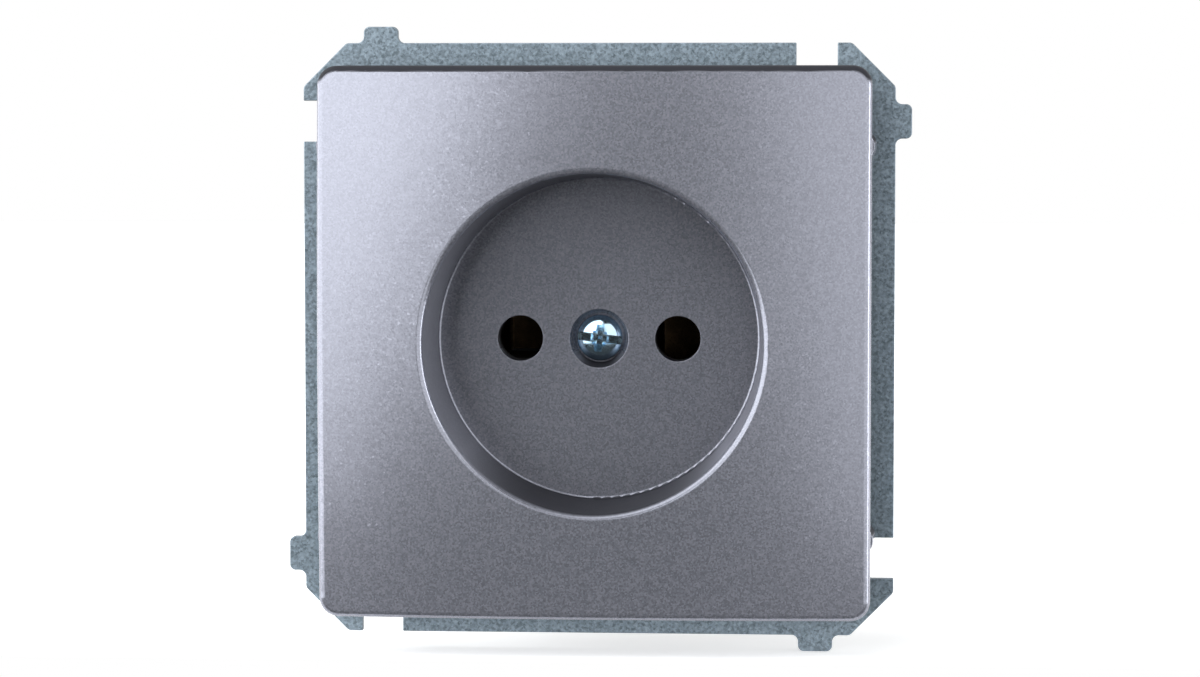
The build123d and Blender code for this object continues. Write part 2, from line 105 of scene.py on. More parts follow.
class NodeSheet:
    """Adds nodes to a shader tree and links them by socket."""

    def __init__(self, tree: NodeTree) -> None:
        """Starts from an empty tree.

        Args:
            tree: the tree of a material, a world or a group.
        """
        self.tree = tree
        self.tree.nodes.clear()

    @classmethod
    def of_material(cls, name: str) -> tuple[Material, "NodeSheet"]:
        """Makes a material.

        Args:
            name: the material's name.

        Returns:
            The material and the empty sheet of its nodes.
        """
        material = bpy.data.materials.new(name)
        material.use_nodes = True
        return material, cls(material.node_tree)

    def add(self, kind: str, settings: dict[str, Any] | None = None,
            inputs: dict[str | int, Any] | None = None) -> Node:
        """Adds one node.

        Args:
            kind: Blender's name of the node type, without its ShaderNode prefix.
            settings: properties of the node itself.
            inputs: values or linked output sockets, by input name or number.

        Returns:
            The new node.
        """
        node = self.tree.nodes.new("ShaderNode" + kind)
        for key, value in (settings or {}).items():
            setattr(node, key, value)
        for key, value in (inputs or {}).items():
            if isinstance(value, NodeSocket):
                self.tree.links.new(value, node.inputs[key])
            else:
                node.inputs[key].default_value = value
        return node

    def math(self, operation: str, *terms: Any) -> NodeSocket:
        """Returns the value of a math node over values or sockets."""
        return self.add("Math", {"operation": operation}, dict(enumerate(terms))).outputs[0]

    def product(self, *factors: Any) -> NodeSocket:
        """Returns the product of values or sockets."""
        return reduce(lambda first, second: self.math("MULTIPLY", first, second), factors)

    def vector(self, operation: str, *terms: Any) -> NodeSocket:
        """Returns the vector of a vector math node over vectors or sockets."""
        return self.add("VectorMath", {"operation": operation}, dict(enumerate(terms))).outputs[0]

    def scaled(self, vector: Any, factor: Any) -> NodeSocket:
        """Returns a vector times a factor."""
        return self.add("VectorMath", {"operation": "SCALE"}, {0: vector, "Scale": factor}).outputs[0]

    def parts(self, vector: Any) -> list[NodeSocket]:
        """Returns the x, y and z of a vector."""
        return list(self.add("SeparateXYZ", None, {0: vector}).outputs)

    def radius(self, x: Any, z: Any) -> NodeSocket:
        """Returns the distance from the y axis."""
        return self.math("SQRT", self.math("ADD", self.product(x, x), self.product(z, z)))

    def mix(self, share: Any, first: Any, second: Any) -> NodeSocket:
        """Returns the value that runs from the first to the second with the share."""
        return self.add("Mix", {"data_type": "FLOAT"}, {0: share, 2: first, 3: second}).outputs[0]

    def blend(self, share: Any, first: Any, second: Any) -> NodeSocket:
        """Returns the colour that runs from the first to the second with the share."""
        ends = [opaque(end) if isinstance(end, tuple) else end for end in (first, second)]
        return self.add("Mix", {"data_type": "RGBA"}, {0: share, 6: ends[0], 7: ends[1]}).outputs[2]

    def span(self, value: Any, low: float, high: float, to_low: float = 0.0,
             to_high: float = 1.0) -> NodeSocket:
        """Returns the value mapped smoothly from one span to another and held at its ends."""
        settings = {"interpolation_type": "SMOOTHSTEP"}
        return self.add("MapRange", settings, {0: value, 1: low, 2: high, 3: to_low, 4: to_high}).outputs[0]

    def above(self, value: Any, limit: float, border: float) -> NodeSocket:
        """Returns the mask of what lies above a limit, soft for a border's width on either side."""
        return self.span(value, limit - border, limit + border)

    def below(self, value: Any, limit: float, border: float) -> NodeSocket:
        """Returns the mask of what lies below a limit, soft for a border's width on either side."""
        return self.span(value, limit + border, limit - border)

    def place(self) -> NodeSocket:
        """Returns the place on the piece, which stays put when its body moves."""
        return self.add("TexCoord").outputs["Object"]

    def facing(self) -> NodeSocket:
        """Returns the way the surface faces, in the piece's own frame."""
        return self.add("TexCoord").outputs["Normal"]

    def noise(self, place: Any, scale: Any, detail: float, roughness: float) -> NodeSocket:
        """Returns a soft noise value about one half."""
        inputs = {"Vector": place, "Scale": scale, "Detail": detail, "Roughness": roughness}
        return self.add("TexNoise", None, inputs).outputs[0]

    def bump(self, height: NodeSocket, relief: Relief, **start: NodeSocket) -> NodeSocket:
        """Returns the normal bumped by a height, from the surface's own or the given Normal."""
        inputs = {"Strength": relief.strength, "Distance": relief.depth, "Height": height, **start}
        return self.add("Bump", None, inputs).outputs[0]

    def use(self, group: str, **inputs: float) -> Any:
        """Returns the outputs of a shared group, given its inputs with underscores for spaces."""
        return self.add("Group", {"node_tree": bpy.data.node_groups[group]}, spaced(inputs)).outputs

    def worn(self, wear: Wear, plain: Colour, marked: Colour,
             rubbed: Colour) -> tuple[NodeSocket, NodeSocket]:
        """Lays handling marks and rubbed edges over a plain colour.

        Args:
            wear: how close the marks lie and how wide the edges are.
            plain: the colour under them.
            marked: the colour of the marks.
            rubbed: the colour of the rubbed edges.

        Returns:
            The colour and the mask of the marks.
        """
        marks = self.use("handling_marks", Marks_per_metre=wear.marks_per_metre)["Mask"]
        edges = self.use("rubbed_edge", Reach=wear.reach)["Mask"]
        return self.blend(edges, self.blend(marks, plain, marked), rubbed), marks

    def principled(self, **inputs: Any) -> None:
        """Adds the surface shader, given its inputs with underscores for spaces, and puts it out."""
        shader = self.add("BsdfPrincipled", None, spaced(inputs))
        self.add("OutputMaterial", None, {"Surface": shader.outputs[0]})


class GroupSheet(NodeSheet):
    """The sheet of a shader group that finishes share."""

    def __init__(self, name: str, *inputs: str) -> None:
        """Starts an empty group.

        Args:
            name: the group's name.
            *inputs: the names of its value inputs, which every use sets.
        """
        super().__init__(bpy.data.node_groups.new(name, "ShaderNodeTree"))
        for key in inputs:
            self.tree.interface.new_socket(key, in_out="INPUT", socket_type="NodeSocketFloat")
        entry = self.tree.nodes.new("NodeGroupInput")
        self.given = [entry.outputs[key] for key in inputs]

    def put_out(self, **results: NodeSocket) -> None:
        """Ends the group.

        Args:
            **results: the values and vectors that it puts out, by name.
        """
        for key, socket in results.items():
            kind = "NodeSocketVector" if socket.type == "VECTOR" else "NodeSocketFloat"
            self.tree.interface.new_socket(key, in_out="OUTPUT", socket_type=kind)
        leave = self.tree.nodes.new("NodeGroupOutput")
        for key, socket in results.items():
            self.tree.links.new(socket, leave.inputs[key])


@dataclass(frozen=True)
class SurfaceEffects:
    """The shader groups that several finishes share, each built once."""

    cell_middle: Point = (0.5, 0.5, 0.5)
    standing_levels: Span = (0.90, 0.99)
    lying_tilt: float = 0.3
    rim_samples: int = 4
    pit_smoothness: float = 0.6
    mark_limits: Span = (0.38, 0.68)
    ragged_per_metre: float = 2600.0
    specks_per_metre: float = 2300.0
    speck_limits: Span = (0.3, 0.7)
    line_stretch: Point = (1.0, 0.06, 1.0)
    edge_samples: int = 6
    edge_turns: Span = (0.985, 0.86)
    breaks_per_metre: float = 1800.0
    break_limits: Span = (0.35, 0.6)

    def build(self) -> None:
        """Builds every group."""
        for draw in (self._flakes, self._grain, self._marks, self._spangle, self._rolling, self._rubbed_edge):
            draw()

    def _flakes(self) -> None:
        """Rounds rims in the shading, tilts the normal flake by flake and gives each flake a level."""
        sheet = GroupSheet("metal_flakes", "Flakes per metre", "Tilt", "Rounding")
        scale, tilt, rounding = sheet.given
        tint = sheet.add("TexVoronoi", None, {"Vector": sheet.place(), "Scale": scale}).outputs["Color"]
        level = sheet.add("SeparateColor", None, {0: tint}).outputs[1]
        standing = sheet.span(level, *self.standing_levels, self.lying_tilt, 1.0)
        lean = sheet.scaled(sheet.vector("SUBTRACT", tint, self.cell_middle), sheet.product(tilt, standing))
        rounded = sheet.add("Bevel", {"samples": self.rim_samples}, {"Radius": rounding}).outputs[0]
        sheet.put_out(Normal=sheet.vector("NORMALIZE", sheet.vector("ADD", rounded, lean)), Level=level)

    def _grain(self) -> None:
        """Draws the eroded texture that a mould leaves on plastic."""
        sheet = GroupSheet("mould_grain", "Grains per metre")
        place, scale = sheet.place(), sheet.given[0]
        fine = sheet.noise(place, scale, detail=3.0, roughness=0.6)
        inputs = {"Vector": place, "Scale": scale, "Smoothness": self.pit_smoothness}
        pits = sheet.add("TexVoronoi", {"feature": "SMOOTH_F1"}, inputs).outputs[0]
        sheet.put_out(Height=sheet.product(pits, fine))

    def _marks(self) -> None:
        """Draws the soft patches that handling leaves on a surface."""
        sheet = GroupSheet("handling_marks", "Marks per metre")
        patches = sheet.noise(sheet.place(), sheet.given[0], detail=5.0, roughness=0.62)
        sheet.put_out(Mask=sheet.span(patches, *self.mark_limits))

    def _spangle(self) -> None:
        """Draws zinc crystals with ragged borders and fine specks."""
        sheet = GroupSheet("zinc_spangle", "Crystals per metre", "Ragged")
        scale, amount = sheet.given
        place = sheet.place()
        inputs = {"Vector": place, "Scale": self.ragged_per_metre, "Detail": 3.0}
        ragged = sheet.vector("SUBTRACT", sheet.add("TexNoise", None, inputs).outputs[1], self.cell_middle)
        moved = sheet.vector("ADD", place, sheet.scaled(ragged, amount))
        tint = sheet.add("TexVoronoi", None, {"Vector": moved, "Scale": scale}).outputs["Color"]
        level = sheet.add("SeparateColor", None, {0: tint}).outputs[0]
        specks = sheet.noise(place, self.specks_per_metre, detail=3.0, roughness=0.65)
        sheet.put_out(Level=level, Specks=sheet.span(specks, *self.speck_limits))

    def _rolling(self) -> None:
        """Draws the fine lines along the strip that rolling leaves."""
        sheet = GroupSheet("rolling_lines", "Lines per metre")
        stretched = sheet.vector("MULTIPLY", sheet.place(), self.line_stretch)
        sheet.put_out(Height=sheet.noise(stretched, sheet.given[0], detail=3.0, roughness=0.6))

    def _rubbed_edge(self) -> None:
        """Finds edges and breaks them up as rubbing does."""
        sheet = GroupSheet("rubbed_edge", "Reach")
        rounded = sheet.add("Bevel", {"samples": self.edge_samples}, {"Radius": sheet.given[0]}).outputs[0]
        sharp = sheet.add("NewGeometry").outputs["Normal"]
        turn = sheet.add("VectorMath", {"operation": "DOT_PRODUCT"}, {0: rounded, 1: sharp}).outputs["Value"]
        breaks = sheet.noise(sheet.place(), self.breaks_per_metre, detail=4.0, roughness=0.6)
        edge, broken = sheet.span(turn, *self.edge_turns), sheet.span(breaks, *self.break_limits)
        sheet.put_out(Mask=sheet.product(edge, broken))


@dataclass(frozen=True)
class Finish:
    """What the finishes share: a named material with a surface that each one draws."""

    name: str

    def material(self) -> Material:
        """Builds the material.

        Returns:
            The material.
        """
        made, sheet = NodeSheet.of_material(self.name)
        self.draw(sheet)
        return made

    def draw(self, sheet: NodeSheet) -> None:
        """Draws the surface on the material's sheet."""
        raise NotImplementedError


@dataclass(frozen=True)
class MetallicPaint(Finish):
    """Dark aluminium lacquer with fine flakes on the outside of a grey moulding."""

    name: str = "dark_aluminium_paint"
    colour: Colour = (0.312, 0.318, 0.370)
    # Painted shade: the near-black colour laid on the upward sides and on the cup's wall, where less light
    # falls.
    painted_shade_colour: Colour = (0.030, 0.030, 0.036)
    bare_colour: Colour = (0.085, 0.085, 0.092)
    roughness: float = 0.20
    marked_roughness: float = 0.012
    bare_roughness: float = 0.55
    metallic: float = 0.667
    sheen: float = 0.1
    flakes_per_metre: float = 5000.0
    flake_tilt: float = 0.05
    flake_contrast: float = 0.10
    rounding: float = 0.15 * MM
    grain: Relief = Relief(2600.0, 0.012, 0.1 * MM)
    marks_per_metre: float = 70.0
    face_back: float = -9.75 * MM
    cup_radius: float = 20.75 * MM
    rim_width: float = 0.25 * MM
    pin_reach: float = 15.0 * MM
    skirt_inside: float = 31.5 * MM
    border: float = 0.2 * MM
    # How much painted shade the cup's wall gets, and the facings and upward turns that carry the painted shade.
    wall_shade_share: float = 0.54
    wall_facing: Span = (0.55, 0.25)
    edge_rise: Span = (0.085, 0.32)
    cup_rise: Span = (0.30, 0.95)
    inside_facing: Span = (-0.6, -0.3)
    back_facing: Span = (0.2, 0.5)

    def draw(self, sheet: NodeSheet) -> None:
        """Draws the paint with painted shade on its upward sides and cup wall, and the bare moulding on its
        hidden side.

        Args:
            sheet: the material's node sheet.
        """
        bare, painted_shade = self._bare_inside(sheet), self._painted_shade_mask(sheet)
        flakes = sheet.use("metal_flakes", Flakes_per_metre=self.flakes_per_metre, Tilt=self.flake_tilt,
                           Rounding=self.rounding)
        height = sheet.use("mould_grain", Grains_per_metre=self.grain.per_metre)["Height"]
        marks = sheet.use("handling_marks", Marks_per_metre=self.marks_per_metre)["Mask"]
        shades = (1.0 - self.flake_contrast, 1.0 + self.flake_contrast)
        dark, bright = (tuple(shade * part for part in self.colour) for shade in shades)
        paint = sheet.blend(flakes["Level"], dark, bright)
        # The painted shade is blended over the flaked paint, then the bare moulding over both.
        colour = sheet.blend(bare, sheet.blend(painted_shade, paint, self.painted_shade_colour), self.bare_colour)
        gloss = sheet.math("MULTIPLY_ADD", marks, self.marked_roughness, self.roughness)
        # The painted shade and the bare moulding both make the surface rough and take its metal away.
        dull = sheet.math("MAXIMUM", bare, painted_shade)
        mirror = sheet.mix(flakes["Level"], *(self.metallic / shade for shade in shades))
        sheet.principled(Base_Color=colour, Roughness=sheet.mix(dull, gloss, self.bare_roughness),
                         Metallic=sheet.product(mirror, sheet.span(dull, 1.0, 0.0)),
                         Specular_IOR_Level=self.sheen,
                         Normal=sheet.bump(height, self.grain, Normal=flakes["Normal"]))

    def _painted_shade_mask(self, sheet: NodeSheet) -> NodeSocket:
        """Finds the upward sides and the cup's wall, where shade is painted in a near-black colour.

        Args:
            sheet: the material's node sheet.

        Returns:
            The mask of the thin coat.
        """
        _, frontward, upward = sheet.parts(sheet.facing())
        x, _, z = sheet.parts(sheet.place())
        radius = sheet.radius(x, z)
        cup = sheet.product(sheet.below(radius, self.cup_radius, self.border),
                            sheet.above(radius, self.pin_reach, self.border))
        steep = sheet.span(sheet.math("ABSOLUTE", frontward), *self.wall_facing)
        wall = sheet.product(cup, steep, self.wall_shade_share)
        within = sheet.below(radius, self.cup_radius - self.rim_width, self.border)
        # Painted shade: outside the cup it starts at a slight upward turn, inside the cup only at a steeper
        # one.
        edges, bottom = sheet.span(upward, *self.edge_rise), sheet.span(upward, *self.cup_rise)
        return sheet.math("MAXIMUM", wall, sheet.mix(within, edges, bottom))

    def _bare_inside(self, sheet: NodeSheet) -> NodeSocket:
        """Finds the hidden side that the spray doesn't reach.

        Args:
            sheet: the material's node sheet.

        Returns:
            The mask of the bare moulding.
        """
        x, y, z = sheet.parts(sheet.place())
        across = sheet.math("MAXIMUM", sheet.math("ABSOLUTE", x), sheet.math("ABSOLUTE", z))
        between = sheet.product(sheet.above(y, self.face_back, self.border),
                                sheet.below(across, self.skirt_inside, self.border),
                                sheet.above(sheet.radius(x, z), self.cup_radius, self.border / 2))
        rearward = sheet.parts(sheet.facing())[1]
        hidden = sheet.product(between, sheet.span(rearward, *self.inside_facing))
        return sheet.math("MAXIMUM", hidden, sheet.span(rearward, *self.back_facing))


@dataclass(frozen=True)
class GalvanisedSheet(Finish):
    """Stamped sheet with a fine zinc spangle and sheared edges."""

    name: str = "galvanised_sheet"
    dark: Colour = (0.098, 0.124, 0.142)
    light: Colour = (0.322, 0.392, 0.453)
    cut_edge: Colour = (0.17, 0.205, 0.23)
    metallic: float = 0.85
    roughness: Span = (0.44, 0.58)
    crystals: Relief = Relief(3800.0, 0.25, 0.05 * MM)
    crystal_share: float = 0.55
    ragged: float = 0.4 * MM
    wear: Wear = Wear(160.0, 0.25 * MM)
    sheared_facing: Span = (0.6, 0.3)

    def draw(self, sheet: NodeSheet) -> None:
        """Draws the spangle, the sheared sides and the worn edges.

        Args:
            sheet: the material's node sheet.
        """
        spangle = sheet.use("zinc_spangle", Crystals_per_metre=self.crystals.per_metre, Ragged=self.ragged)
        marks = sheet.use("handling_marks", Marks_per_metre=self.wear.marks_per_metre)["Mask"]
        rubbed = sheet.use("rubbed_edge", Reach=self.wear.reach)["Mask"]
        mottled = sheet.mix(self.crystal_share, spangle["Specks"], spangle["Level"])
        frontward = sheet.math("ABSOLUTE", sheet.parts(sheet.facing())[1])
        sheared = sheet.span(frontward, *self.sheared_facing)
        colour = sheet.blend(sheared, sheet.blend(mottled, self.dark, self.light), self.cut_edge)
        sheet.principled(Base_Color=sheet.blend(rubbed, colour, self.light),
                         Roughness=sheet.span(marks, 0.0, 1.0, *self.roughness), Metallic=self.metallic,
                         Normal=sheet.bump(mottled, self.crystals))


@dataclass(frozen=True)
class ZincPlate(Finish):
    """Bright bluish zinc plating on steel."""

    name: str = "bright_zinc"
    colour: Colour = (0.53, 0.59, 0.63)
    dull: Colour = (0.40, 0.45, 0.48)
    rubbed: Colour = (0.70, 0.73, 0.75)
    roughness: Span = (0.22, 0.30)
    grain: Relief = Relief(9000.0, 0.12, 0.02 * MM)
    wear: Wear = Wear(700.0, 0.12 * MM)

    def draw(self, sheet: NodeSheet) -> None:
        """Draws the plating with its dull patches and bright edges.

        Args:
            sheet: the material's node sheet.
        """
        height = sheet.use("mould_grain", Grains_per_metre=self.grain.per_metre)["Height"]
        colour, marks = sheet.worn(self.wear, self.colour, self.dull, self.rubbed)
        sheet.principled(Base_Color=colour, Roughness=sheet.span(marks, 0.0, 1.0, *self.roughness),
                         Metallic=1.0, Normal=sheet.bump(height, self.grain))


@dataclass(frozen=True)
class MouldedInsulator(Finish):
    """Near-black moulded insulator with an eroded mould texture."""

    name: str = "black_insulator"
    colour: Colour = (0.020, 0.020, 0.022)
    scuffed: Colour = (0.036, 0.036, 0.038)
    rubbed: Colour = (0.075, 0.075, 0.078)
    roughness: Span = (0.42, 0.56)
    grain: Relief = Relief(3600.0, 0.3, 0.06 * MM)
    wear: Wear = Wear(90.0, 0.3 * MM)

    def draw(self, sheet: NodeSheet) -> None:
        """Draws the grained moulding with scuffs and rubbed edges.

        Args:
            sheet: the material's node sheet.
        """
        height = sheet.use("mould_grain", Grains_per_metre=self.grain.per_metre)["Height"]
        colour, marks = sheet.worn(self.wear, self.colour, self.scuffed, self.rubbed)
        sheet.principled(Base_Color=colour, Roughness=sheet.span(marks, 0.0, 1.0, *self.roughness),
                         Normal=sheet.bump(height, self.grain))


@dataclass(frozen=True)
class RolledBrass(Finish):
    """Plain rolled brass with a little tarnish."""

    name: str = "rolled_brass"
    colour: Colour = (0.62, 0.43, 0.19)
    tarnish: Colour = (0.33, 0.21, 0.10)
    rubbed: Colour = (0.86, 0.68, 0.38)
    roughness: Span = (0.24, 0.40)
    lines: Relief = Relief(8000.0, 0.2, 0.03 * MM)
    line_limits: Span = (0.3, 0.7)
    wear: Wear = Wear(260.0, 0.2 * MM)

    def draw(self, sheet: NodeSheet) -> None:
        """Draws the rolled strip with tarnish and bright edges.

        Args:
            sheet: the material's node sheet.
        """
        height = sheet.use("rolling_lines", Lines_per_metre=self.lines.per_metre)["Height"]
        colour, _ = sheet.worn(self.wear, self.colour, self.tarnish, self.rubbed)
        sheet.principled(Base_Color=colour, Roughness=sheet.span(height, *self.line_limits, *self.roughness),
                         Metallic=1.0, Normal=sheet.bump(height, self.lines))


def dress(node: str, material: Material) -> Object:
    """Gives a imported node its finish.

    Args:
        node: the node's name.
        material: the finish.

    Returns:
        The node's object.
    """
    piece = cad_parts[node]
    piece.data.materials.clear()
    piece.data.materials.append(material)
    log.info("dressed %s in %s", node, material.name)
    return piece


def break_edges(piece: Object, width: float, segments: int = 2) -> None:
    """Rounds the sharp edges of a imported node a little, as tools and moulds leave them.

    Args:
        piece: the node's object.
        width: the width of the rounding, in metres.
        segments: how many steps the rounding has.
    """
    weld = piece.modifiers.new("weld", "WELD")
    weld.merge_threshold = WELD_REACH
    flats = piece.modifiers.new("flats", "DECIMATE")
    flats.decimate_type, flats.angle_limit = "DISSOLVE", math.radians(FLAT_ANGLE)
    edges = piece.modifiers.new("edges", "BEVEL")
    edges.limit_method, edges.angle_limit = "ANGLE", math.radians(SHARP_ANGLE)
    edges.width, edges.segments = width, segments
    edges.use_clamp_overlap = True
    piece.modifiers.new("normals", "WEIGHTED_NORMAL").keep_sharp = True


def carved(base: Mesh, tool: Mesh, operation: str) -> Mesh:
    """Cuts one mesh from another or joins the two.

    Args:
        base: the mesh that is worked on.
        tool: the mesh that is taken away or added.
        operation: Blender's name of the step, DIFFERENCE or UNION.

    Returns:
        The new mesh; the two given ones are removed.
    """
    work = bpy.data.objects.new("work", base)
    other = bpy.data.objects.new("tool", tool)
    for item in (work, other):
        bpy.context.scene.collection.objects.link(item)
    step = work.modifiers.new("step", "BOOLEAN")
    step.operation, step.solver, step.object = operation, "EXACT", other
    view = bpy.context.evaluated_depsgraph_get()
    made = bpy.data.meshes.new_from_object(work.evaluated_get(view))
    for item in (work, other):
        bpy.data.objects.remove(item)
    for mesh in (base, tool):
        bpy.data.meshes.remove(mesh)
    return made


class HeadForm(Enum):
    """Shapes of a screw's head."""

    DOMED = "domed"
    CHEESE = "cheese"
    SUNK = "sunk"


class Drive(Enum):
    """Recesses for a driver in a screw's head."""

    SLOT = "slot"
    CROSS = "cross"
    CROSS_AND_SLOT = "cross_and_slot"


@dataclass(frozen=True)
class Seat:
    """Where a screw's head rests: a point, the way its head looks and the way its slot runs."""

    place: Point
    axis: Point
    along: Point

    def matrix(self) -> Matrix:
        """Works out the move from a screw's own millimetres to the part's metres.

        Returns:
            The matrix of the move.
        """
        up = Vector(self.axis).normalized()
        across = up.cross(Vector(self.along)).normalized()
        along = across.cross(up)
        turn = Matrix((along, across, up)).transposed().to_4x4()
        return Matrix.Translation(Vector(self.place) * MM) @ turn @ Matrix.Scale(MM, 4)


@dataclass(frozen=True)
class Screw:
    """A screw in millimetres: its head stands on z = 0 and its threaded shank runs down.

    A sunk head hangs below z = 0 instead. Values named share are parts of the size they belong to.
    """

    head_diameter: float
    head_height: float
    shank_diameter: float
    shank_length: float
    form: HeadForm
    drive: Drive
    pitch: float = 0.5
    slot_width: float = 1.1
    slot_depth: float = 0.9
    slot_taper: float = 0.12
    slot_overrun: float = 1.0
    cross_width: float = 1.0
    cross_length: float = 3.6
    cross_depth: float = 1.3
    cross_foot_share: Span = (0.42, 0.72)
    cross_offset: float = 0.003
    centre_width: float = 1.75
    centre_tip: float = 0.12
    centre_depth: float = 0.22
    tool_clearance: float = 0.6
    sunk_share: tuple[float, ...] = (1.0, 0.5, 0.06)
    sunk_edge: float = 0.02
    cheese_corner: float = 0.18
    cheese_foot: float = 0.08
    cheese_steps: int = 5
    dome_wall_share: float = 0.42
    dome_power: float = 0.82
    dome_foot: float = 0.1
    dome_steps: int = 14
    thread_share: float = 0.54
    crest_share: Span = (0.5, 0.625)
    root_share: Span = (0.0, 0.125)
    tip_length: float = 0.3
    head_overlap: float = 0.35
    run_in_turns: float = 0.2
    run_out_turns: Span = (0.4, 1.2)
    columns: int = 40
    smooth_angle: float = 38.0

    @property
    def top(self) -> float:
        """The height of the head's top."""
        return 0.0 if self.form is HeadForm.SUNK else self.head_height

    def mesh(self) -> Mesh:
        """Builds the head, cuts its recess and joins the shank to it.

        Returns:
            The mesh of the screw.
        """
        head = self._lathe(self._head_outline())
        for tool in self._driver_shapes():
            head = carved(head, tool, "DIFFERENCE")
        made = carved(head, self._shank(), "UNION")
        made.shade_smooth()
        made.set_sharp_from_angle(angle=math.radians(self.smooth_angle))
        return made

    def _head_outline(self) -> list[tuple[float, float]]:
        """Works out the head's outline from its underside to its top.

        Returns:
            Radius and height of each point.
        """
        radius, height = self.head_diameter / 2, self.head_height
        if self.form is HeadForm.SUNK:
            slope = [(radius - height * share, -height * share) for share in self.sunk_share]
            return [*slope, (radius - self.sunk_edge, 0.0)]
        if self.form is HeadForm.CHEESE:
            corner, foot = self.cheese_corner, self.cheese_foot
            turns = [math.radians(90.0 * step / self.cheese_steps) for step in range(self.cheese_steps + 1)]
            side, rise = radius - corner, height - corner
            arc = [(side + corner * math.cos(t), rise + corner * math.sin(t)) for t in turns]
            return [(radius - foot, 0.0), (radius, foot), *arc]
        wall, foot = self.dome_wall_share * height, self.dome_foot
        turns = [math.radians(90.0 * step / self.dome_steps) for step in range(self.dome_steps)]
        dome = [(radius * math.cos(t) ** self.dome_power, wall + (height - wall) * math.sin(t))
                for t in turns]
        return [(radius - foot, 0.0), (radius, foot), *dome]

    def _lathe(self, outline: list[tuple[float, float]]) -> Mesh:
        """Turns an outline about z into a closed mesh.

        Args:
            outline: radius and height from the underside to the top.

        Returns:
            The mesh.
        """
        shape = bmesh.new()
        count = 2 * self.columns
        turns = [2 * math.pi * column / count for column in range(count)]
        rings = [[shape.verts.new((radius * math.cos(t), radius * math.sin(t), height)) for t in turns]
                 for radius, height in outline]
        shape.faces.new(list(reversed(rings[0])))
        centre = shape.verts.new((0.0, 0.0, self.top))
        for column in range(count):
            after = (column + 1) % count
            for lower, upper in zip(rings, rings[1:]):
                shape.faces.new((lower[column], lower[after], upper[after], upper[column]))
            shape.faces.new((rings[-1][column], rings[-1][after], centre))
        return self._meshed(shape)

    def _driver_shapes(self) -> list[Mesh]:
        """Builds the tapered blocks that the driver's recess is cut with.

        Returns:
            The blocks' meshes.
        """
        shapes = []
        if self.drive is not Drive.CROSS:
            length = self.head_diameter + self.slot_overrun
            foot = (length, self.slot_width - self.slot_taper)
            shapes.append(self._block((length, self.slot_width), foot, self.slot_depth))
        if self.drive is not Drive.SLOT:
            arm = (self.cross_length, self.cross_width)
            foot = tuple(share * size for share, size in zip(self.cross_foot_share, arm))
            depth = self.cross_depth
            shapes.append(self._block(arm, foot, depth))
            shapes.append(self._block(arm[::-1], foot[::-1], depth + self.cross_offset))
            middle, tip = (self.centre_width, self.centre_width), (self.centre_tip, self.centre_tip)
            shapes.append(self._block(middle, tip, depth + self.centre_depth))
        return shapes

    def _block(self, wide: Span, narrow: Span, depth: float) -> Mesh:
        """Builds a block that narrows downwards from above the head's top.

        Args:
            wide: its length and width at the head's top.
            narrow: its length and width at its foot.
            depth: how far below the head's top its foot is.

        Returns:
            The block's mesh.
        """
        grow = self.tool_clearance / depth
        upper = [w + (w - n) * grow for w, n in zip(wide, narrow)]
        shape = bmesh.new()
        rings = []
        for (length, width), height in ((narrow, self.top - depth), (upper, self.top + self.tool_clearance)):
            corners = ((-1, -1), (1, -1), (1, 1), (-1, 1))
            rings.append([shape.verts.new((a * length / 2, b * width / 2, height)) for a, b in corners])
        for side in range(4):
            after = (side + 1) % 4
            shape.faces.new((rings[0][side], rings[0][after], rings[1][after], rings[1][side]))
        shape.faces.new(list(reversed(rings[0])))
        shape.faces.new(rings[1])
        return self._meshed(shape)

    def _shank(self) -> Mesh:
        """Builds the shank with a helical thread that runs in at its tip and out below the head.

        Returns:
            The shank's mesh.
        """
        major = self.shank_diameter / 2
        minor = major - self.thread_share * self.pitch
        section = [(share, minor) for share in self.root_share]
        section += [(share, major) for share in self.crest_share]
        hidden = self.head_height - self.head_overlap if self.form is HeadForm.SUNK else 0.0
        room = self.shank_length - self.tip_length + self.head_overlap - hidden
        turns = max(2, int(room / self.pitch) - 1)
        steps = turns * self.columns
        fade_start, fade_length = self.run_out_turns
        shape = bmesh.new()

        def point(step: int, share: float, radius: float) -> bmesh.types.BMVert:
            """Adds one point of the section at a step along the helix.

            Args:
                step: the step, with as many to a turn as there are columns.
                share: how far up the pitch the point lies.
                radius: its radius where the thread is full.

            Returns:
                The new vertex.
            """
            turn = 2 * math.pi * step / self.columns
            along = step / self.columns + share
            run_out = (turns - along + fade_start) / fade_length
            grown = min(1.0, max(0.0, along - self.run_in_turns), max(0.0, run_out))
            reach = minor + (radius - minor) * grown
            height = self.tip_length - self.shank_length + self.pitch * along
            return shape.verts.new((reach * math.cos(turn), reach * math.sin(turn), height))

        first = [point(step, *section[0]) for step in range(steps + self.columns + 1)]
        others = [[point(step, *spot) for step in range(steps + 1)] for spot in section[1:]]
        lines = [first, *others]
        for step in range(steps):
            for lower, upper in zip(lines, lines[1:]):
                shape.faces.new((lower[step], lower[step + 1], upper[step + 1], upper[step]))
            over = step + self.columns
            shape.faces.new((others[-1][step], others[-1][step + 1], first[over + 1], first[over]))
        tip_point = shape.verts.new((0.0, 0.0, -self.shank_length))
        low_ring = [*first[:self.columns + 1], *(line[0] for line in reversed(others))]
        top_point = shape.verts.new((0.0, 0.0, first[-1].co.z))
        high_ring = [*first[steps:], *(line[steps] for line in reversed(others))]
        for here, after in zip(low_ring, low_ring[1:] + low_ring[:1]):
            shape.faces.new((after, here, tip_point))
        for here, after in zip(high_ring, high_ring[1:] + high_ring[:1]):
            shape.faces.new((here, after, top_point))
        return self._meshed(shape)

